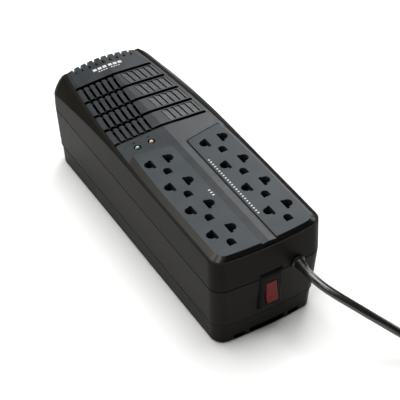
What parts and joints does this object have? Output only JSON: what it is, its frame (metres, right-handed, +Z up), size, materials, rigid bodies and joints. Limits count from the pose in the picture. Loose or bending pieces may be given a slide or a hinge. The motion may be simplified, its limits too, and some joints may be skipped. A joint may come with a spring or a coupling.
{
  "type": "desk power unit with outlets",
  "caption": "Long low power unit with two banks of mains outlets on its top, a red rocker switch, a vented rear deck and a coiled mains lead.",
  "frame": {"origin": "middle of the footprint, on the surface the unit stands on", "axes": "+Z up, -Y towards the switch and lead, +Y towards the vented end, +X to the right seen from the switch end"},
  "size_m": [0.1937, 0.48, 0.096],
  "materials": {
    "case_plastic": "fine moulded grain, warm black",
    "cover_plastic": "fine moulded grain, dark grey",
    "bank_plastic": "fine moulded grain, mid grey",
    "socket_plastic": "smooth black",
    "led_green": "clear tinted dome",
    "led_amber": "clear tinted dome",
    "circuit_board": "green solder mask",
    "switch_plastic": "satin black",
    "rocker_red": "satin red",
    "wire_sleeve": "smooth sleeve",
    "foot_rubber": "matte",
    "screw_steel": "zinc plated",
    "core_steel": "stacked laminations",
    "bobbin_plastic": "natural nylon",
    "winding_copper": "enamelled copper wire",
    "relay_plastic": "smooth moulded",
    "capacitor_sleeve": "shrink sleeve",
    "varistor_coat": "dipped epoxy",
    "terminal_plastic": "moulded",
    "fuse_glass": "clear tube",
    "contact_brass": "bright strip",
    "cord_rubber": "satin vinyl",
    "tie_plastic": "ribbed strap"
  },
  "bodies": {
    "housing": {"base_shell": "case_plastic", "upper_case": "case_plastic", "top_cover": "cover_plastic", "avr_bank_plate": "bank_plastic", "surge_bank_plate": "bank_plastic", "avr_socket_block": "socket_plastic", "surge_socket_block": "socket_plastic", "avr_line_bar": "contact_brass", "avr_neutral_bar": "contact_brass", "avr_ground_bar": "contact_brass", "surge_line_bar": "contact_brass", "surge_neutral_bar": "contact_brass", "surge_ground_bar": "contact_brass", "green_led": "led_green", "amber_led": "led_amber", "led_board": "circuit_board", "switch_housing": "switch_plastic", "switch_terminals": "contact_brass", "switch_wires": "wire_sleeve", "rubber_feet": "foot_rubber", "case_screws": "screw_steel", "transformer_core": "core_steel", "transformer_bobbin": "bobbin_plastic", "transformer_winding": "winding_copper", "transformer_bracket": "screw_steel", "transformer_screws": "screw_steel", "control_board": "circuit_board", "board_screws": "screw_steel", "relays": "relay_plastic", "filter_capacitors": "capacitor_sleeve", "surge_varistors": "varistor_coat", "controller_chip": "socket_plastic", "terminal_block": "terminal_plastic", "fuse_holder": "socket_plastic", "fuse": "fuse_glass", "outlet_wires": "wire_sleeve", "inlet_wires": "wire_sleeve", "strain_relief": "cord_rubber", "power_cord": "cord_rubber", "cord_coil": "cord_rubber", "cord_tail": "cord_rubber", "coil_tie": "tie_plastic", "plug_body": "cord_rubber", "plug_blades": "contact_brass", "plug_ground_pin": "contact_brass"},
    "switch_rocker": {"rocker": "rocker_red"}
  },
  "joints": [
    {"name": "rocker_tilt", "type": "hinge", "parent": "housing", "child": "switch_rocker", "pos_m": [-0.0009, -0.1395, 0.0464], "axis": [1, 0, 0], "range_deg": [0, 18.2]}
  ]
}
